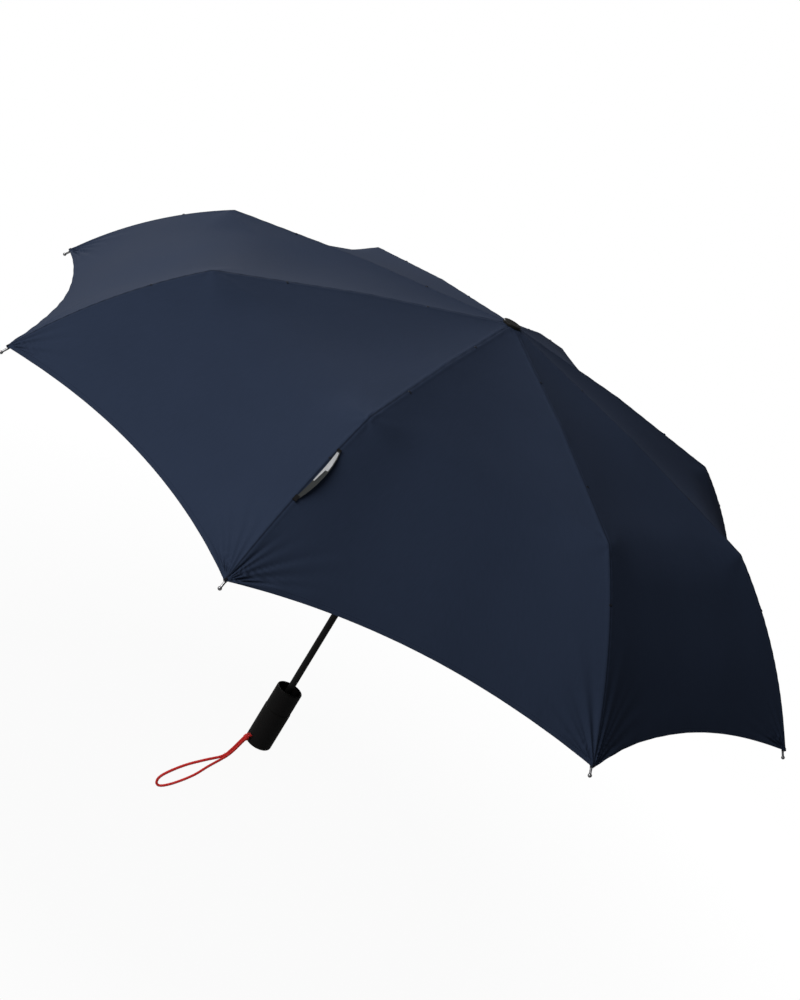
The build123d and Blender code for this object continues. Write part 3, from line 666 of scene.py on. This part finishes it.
# (out from the hole, up, sideways) in millimetres: doubled to the pinch, then a long loop
CORD_OUT = [(-1.2, 0, 0), (2.4, -1.2, 0), (5.2, -8, -0.2), (12.2, -26, 0.2), (18, -36.5, -0.6)]
CORD_LOOP = [(29, -52.7, -1.5), (39.9, -70.2, -4), (54, -88, -9.4), (64.5, -98.2, -14.6),
             (69.5, -98.5, -18.2), (69, -91.5, -20.4), (62, -80.5, -19), (48.5, -64.5, -14.5),
             (32.4, -49.2, -8)]
COLLAR_R = 0.75 * MM
WRAP_R = 0.35 * MM
COIL_WIDE, COIL_HIGH = 3.3 * MM, 1.9 * MM     # half size of a turn round both strands
COIL_STEP = 0.2 * MM      # steps of the line between the strands
COIL_STEPS = 22           # each coil covers this many
COLLAR_FROM = 4           # first step of the collar
WRAP_FROM_END = 26        # first step of the wrap, counted from the pinch


def cord_directions():
    """The cord's hole, outward from it and sideways along the handle's wall."""
    x, y, z = next(j for j in frame["joints"] if j["name"] == "cord_swing")["pos_m"]
    out = unit(np.array([x, y, 0]))
    return np.array([x, y, z]), out, np.array([-out[1], out[0], 0])


def cord_places(points, beside=0.0):
    """The cord's own points, in millimetres from its hole, put in the part's frame."""
    hole, out, side = cord_directions()
    p = np.array(points, float) * MM
    return hole + np.outer(p[:, 0], out) + np.outer(p[:, 2] + beside, side) + p[:, 1:2] * [0, 0, 1]


def cord_loop():
    """Braided cord: two strands side by side out of the hole, then one loop. It is thinner in the hole."""
    there, back = cord_places(CORD_OUT, CORD_SIDE), cord_places(CORD_OUT, -CORD_SIDE)[::-1]
    path = smooth_path(np.concatenate([there, cord_places(CORD_LOOP), back]), CORD_STEP)
    steps = np.arange(len(path))
    from_end = CORD_STEP * np.minimum(steps, steps[::-1])
    girth = CORD_R * (0.8 + 0.2 * smooth_step(from_end / (9 * MM)))
    verts, faces = swept(path, girth[:, None], 16, BRAID, CORD_LAY)
    dressed(new_object("cord_loop", verts, faces, FINISHES["red_cord"]), "cord", "red_cord", "wrist_cord")


def cord_coil(name, spine, turns, thick):
    """A few turns of cord or thread round both strands."""
    across = cord_directions()[2]
    up = np.cross(np.gradient(spine, axis=0), across)
    up /= np.linalg.norm(up, axis=1)[:, None]
    t = np.linspace(0, 1, 40 * turns)
    places = np.linspace(0, 1, len(spine))
    turn = (2 * math.pi * turns * t)[:, None]
    path = resampled(spine, places, t)
    path += across * np.cos(turn) * COIL_WIDE + resampled(up, places, t) * np.sin(turn) * COIL_HIGH
    verts, faces = swept(path, thick, 10)
    dressed(new_object(name, verts, faces, FINISHES["red_cord"]), "cord", "red_cord")


def wrist_cord():
    """The cord with a collar outside its hole and a wrap at the pinch."""
    cord_loop()
    spine = smooth_path(cord_places(CORD_OUT[1:]), COIL_STEP)
    cord_coil("cord_collar", spine[COLLAR_FROM:COLLAR_FROM + COIL_STEPS], 3, COLLAR_R)
    cord_coil("cord_wrap", spine[-WRAP_FROM_END:][:COIL_STEPS], 2, WRAP_R)


wrist_cord()


# ---- threads that tie the cloth to the ribs ----
TIES = {"top": (TOP_SPAN, 0.55), "mid": (MID_SPAN, 0.52), "end": (END_SPAN, 0.29)}     # place along each
TIE_R = 0.26 * MM
TIE_DROP = 3.4 * MM       # middle of a tie below the cloth
TIE_COIL = 3, 90, 3.6 * MM, 2.5 * MM, 2.2 * MM      # turns, steps, half height, half width, length
TIP_R = 0.24 * MM
TIP_DROP = 1.9 * MM
TIP_COIL = 5, 120, 2.3 * MM, 1.7 * MM, 3.2 * MM


def span_frame(span, share, step):
    """A point on the cloth over a rib, with the directions along and above the rib over the next step."""
    start, stop, sag = SPANS[span]
    here, ahead = rib_span(start, stop, sag, np.array([share, share + step]))
    along = unit(ahead - here)
    return here, along, np.array([-along[1], along[0]])


def thread_coil(name, body, rib, centre, along, up, thick, coil, beside=0.0):
    """Turns of thread round a point of a rib's plane."""
    turns, steps, high, wide, long = coil
    t = np.linspace(0, 1, steps)
    turn = 2 * math.pi * turns * t
    plane = centre + np.outer(np.sin(turn) * high, up) + np.outer((t - 0.5) * long, along)
    path = at_rib(rib, plane[:, 0], beside + np.cos(turn) * wide, plane[:, 1])
    piece = new_object(name, *swept(path, thick, 8), FINISHES["navy_thread"])
    dressed(piece, body, "navy_cloth")


def tie_threads():
    """Three turns of thread round a rib and through the seam, on every zone of every rib."""
    for rib in range(RIBS):
        for zone, (span, share) in TIES.items():
            here, along, up = span_frame(span, share, 0.01)
            beside = 0 if zone == "end" else -here[0] * math.sin(TWIST)
            thread_coil(f"tie_{zone}_{rib + 1}", f"{zone}_{rib + 1}", rib, here - up * TIE_DROP, along, up,
                        TIE_R, TIE_COIL, beside)


def tip_threads():
    """Whipping that sews the cloth's corner to each rod, just inside the tip."""
    _, along, up = span_frame(END_SPAN, 0.975, 0.025)
    centre = CORNER - up * TIP_DROP - along * TIP_COIL[-1] / 2
    for rib in range(RIBS):
        thread_coil(f"tip_thread_{rib + 1}", f"end_{rib + 1}", rib, centre, along, up, TIP_R, TIP_COIL)


tie_threads()
tip_threads()


# ---- closing strap and its blank label ----
STRAP_RIB = 6
STRAP_SHARE = (0.232, 0.545)     # along the end rib's seam
STRAP_STEPS = 60
STRAP_COLUMNS = 13


def ribbon(name, material, low, high, inner, outer, lift, thick):
    """A closed band beside the strap's seam. inner, outer and lift give its edges and height at a share."""
    start, stop, sag = SPANS[END_SPAN]
    t = np.linspace(low, high, STRAP_STEPS)
    line = rib_span(start, stop, sag, STRAP_SHARE[0] + (STRAP_SHARE[1] - STRAP_SHARE[0]) * t)
    along = directions(line)
    up = np.stack([-along[:, 1], along[:, 0]], axis=1)
    near, far = inner(t)[:, None], outer(t)[:, None]
    side = near + (far - near) * np.linspace(0, 1, STRAP_COLUMNS)
    rise = lift(t, side)
    layers = []
    for drop in (0.0, thick):
        plane = line[:, None] + up[:, None] * (rise - drop)[:, :, None]
        layers.append(at_rib(STRAP_RIB, plane[:, :, 0], side, plane[:, :, 1]))
    run = np.broadcast_to(length_along(line)[:, None], side.shape)
    piece = sheet(name, *layers, side, run, FINISHES[material])
    dressed(piece, f"end_{STRAP_RIB + 1}", "strap_cloth")
    return piece


def strap_arch(t):
    return np.clip(np.sin(math.pi * t), 0, 1)


def strap_near(t, more=0.0):
    """Edge beside the seam."""
    return (0.6 + 2.1 * np.sin(math.pi * t) + more) * MM


def strap_far(t, more=0.0):
    """Outer edge, widest in the middle."""
    return (2.0 + 6.8 * strap_arch(t) ** 0.7 + more) * MM


def strap_lift(t, side, more=0.0):
    """Height over the seam: the band stands off the cloth in the middle and tips up outwards."""
    arch = strap_arch(t)[:, None]
    return (0.9 + 0.9 * arch + more) * MM + arch * side * 0.25


def strap():
    """A doubled band sewn down at both ends, with a folded blank label and black bar tacks."""
    band = ribbon("strap_band", "strap_cloth", 0.0, 1.0, strap_near, strap_far, strap_lift, 0.6 * MM)
    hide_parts("tie_strap")
    ribbon("strap_back", "strap_cloth", 0.03, 0.97,
           lambda t: strap_near(t, -0.3),
           lambda t: strap_far(t) * 0.85,
           lambda t, side: strap_lift(t, side) * 0.5, 0.5 * MM)
    ribbon("strap_label", "label_cloth", 0.06, 0.41,
           lambda t: strap_near(t, 0.1),
           lambda t: strap_far(t, -0.9),
           lambda t, side: strap_lift(t, side, 0.3), 0.28 * MM)
    ribbon("strap_label_fold", "label_cloth", 0.40, 0.63,
           lambda t: strap_near(t, 0.1),
           lambda t: strap_near(t, 2.6 - 1.2 * (t - 0.40) / 0.23),
           lambda t, side: strap_lift(t, side, 0.32), 0.26 * MM)
    for name, low, high in (("strap_tack_1", 0.0, 0.035), ("strap_tack_2", 0.93, 1.02)):
        ribbon(name, "tack_thread", low, high,
               lambda t: np.full_like(t, -0.6 * MM),
               lambda t: np.full_like(t, 3.6 * MM),
               lambda t, side: np.full_like(side, 1.5 * MM), 1.0 * MM)


strap()


# ---- camera, light and floor ----
VIEW_AZIMUTH = math.radians(11.155)
VIEW_ELEVATION = math.radians(18.928)
VIEW_ROLL = math.radians(-31.274)
LENS = 69.73            # focal length in mm
AIM = Vector((-4.7 * MM, -0.9 * MM, 0.5972 * CROWN_Z))
DISTANCE = 2.1401


def camera():
    """Sets the photograph's view and returns its right, its up and the way back to the camera."""
    data = bpy.data.cameras.new("camera")
    data.lens = LENS
    data.clip_start = 0.01
    eye = bpy.data.objects.new("camera", data)
    bpy.context.scene.collection.objects.link(eye)
    forward = Vector((-math.sin(VIEW_AZIMUTH) * math.cos(VIEW_ELEVATION),
                      math.cos(VIEW_AZIMUTH) * math.cos(VIEW_ELEVATION), -math.sin(VIEW_ELEVATION)))
    level = forward.cross(Vector((0, 0, 1))).normalized()
    rise = level.cross(forward)
    right = level * math.cos(VIEW_ROLL) - rise * math.sin(VIEW_ROLL)
    up = level * math.sin(VIEW_ROLL) + rise * math.cos(VIEW_ROLL)
    place = Matrix((right, up, -forward)).transposed().to_4x4()
    place.translation = AIM - forward * DISTANCE
    eye.matrix_world = place
    bpy.context.scene.camera = eye
    return right, up, -forward


RIGHT, UP, BACK = camera()
# name: (direction from the cloth, diameter, watts)
LIGHTS = {
    "key": (Vector((-0.744, 0.599, 0.297)), 1.6, 44),
    "fill": (-0.55 * RIGHT + 0.6 * UP + 0.6 * BACK, 1.6, 28),
    "front": (-0.2 * RIGHT + 0.55 * UP + 0.8 * BACK, 1.6, 31),
    "under": (Vector((0.3, -0.5, -1)), 2.4, 60),
}
LIGHT_DISTANCE = 3.0
ROOM_LIGHT = 0.11
FLOOR_DROP = 12 * MM                # below the lowest point of the cord
FLOOR_PLAIN, FLOOR_END = 0.3, 1.2   # radii of the floor's two rings
FLOOR_SIDES = 96


def area_light(name, towards, size, power):
    data = bpy.data.lights.new(name, "AREA")
    data.shape = "DISK"
    data.size = size
    data.energy = power
    light = bpy.data.objects.new(name, data)
    light.visible_camera = False
    bpy.context.scene.collection.objects.link(light)
    towards = towards.normalized()
    light.location = Vector((0, 0, 0.75 * CROWN_Z)) + towards * LIGHT_DISTANCE
    light.rotation_euler = towards.to_track_quat("Z", "Y").to_euler()


def rays_mix(tree, seen, lit):
    """A shader that shows one thing to the camera and lights the object with another."""
    path = tree.nodes.new("ShaderNodeLightPath")
    mix = tree.nodes.new("ShaderNodeMixShader")
    tree.links.new(path.outputs["Is Camera Ray"], mix.inputs[0])
    tree.links.new(lit, mix.inputs[1])
    tree.links.new(seen, mix.inputs[2])
    return mix.outputs[0]


def studio():
    """A white room that lights the object softly from all round."""
    world = bpy.data.worlds.new("studio")
    world.use_nodes = True
    tree = world.node_tree
    glow = []
    for value in (1.0, ROOM_LIGHT):
        node = tree.nodes.new("ShaderNodeBackground")
        node.inputs[0].default_value = grey(1.0)
        node.inputs[1].default_value = value
        glow.append(node.outputs[0])
    output = tree.nodes["World Output"]
    tree.links.new(rays_mix(tree, *glow), output.inputs[0])
    bpy.context.scene.world = world


def floor_material():
    """Pale and a little brighter outwards, like the white room, and clear from below."""
    n = Nodes("floor")
    reach = n.add("VectorMath", _0=n.place())
    reach.operation = "LENGTH"
    shade = n.ramp(reach.outputs["Value"], 0.35, 0.95, 0.955, 1.0)
    speck = n.math("MULTIPLY", n.noise(n.place(), 400.0, 2.0), 0.006)
    glow = n.add("Emission", Color=n.math("ADD", shade, speck))
    matt = n.add("BsdfDiffuse", Color=grey(0.5))
    side = n.tree.nodes.new("ShaderNodeMixShader")
    n.join(side.inputs[0], n.add("NewGeometry").outputs["Backfacing"])
    n.join(side.inputs[1], rays_mix(n.tree, glow.outputs[0], matt.outputs[0]))
    n.join(side.inputs[2], n.add("BsdfTransparent").outputs[0])
    n.join(n.tree.nodes["Material Output"].inputs[0], side.outputs[0])
    return n.material


def floor():
    """Plain pale disc below the object, seen only from above."""
    turn = 2 * math.pi * np.arange(FLOOR_SIDES) / FLOOR_SIDES
    level = np.full(FLOOR_SIDES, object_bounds()[0][2] - FLOOR_DROP)
    rings = [np.stack([np.cos(turn) * r, np.sin(turn) * r, level], axis=1) for r in (FLOOR_PLAIN, FLOOR_END)]
    inner = np.arange(FLOOR_SIDES)
    after = np.roll(inner, -1)
    faces = [inner.tolist()] + quads(inner, inner + FLOOR_SIDES, after + FLOOR_SIDES, after)
    new_object("floor", np.concatenate(rings), faces, floor_material(), smooth=False)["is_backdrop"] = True


for name, (towards, size, power) in LIGHTS.items():
    area_light(name, towards, size, power)
studio()
floor()
bpy.context.scene.view_settings.view_transform = "Standard"


def canopy():
    """Every strip rides on its rib."""
    for rib in range(RIBS):
        for zone in ZONES:
            for side in (-1, 1):
                piece = strip(rib, zone, side, FINISHES["navy_cloth"])
                dressed(piece, f"{zone}_{rib + 1}", "navy_cloth", "canopy")
                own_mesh(piece)


canopy()
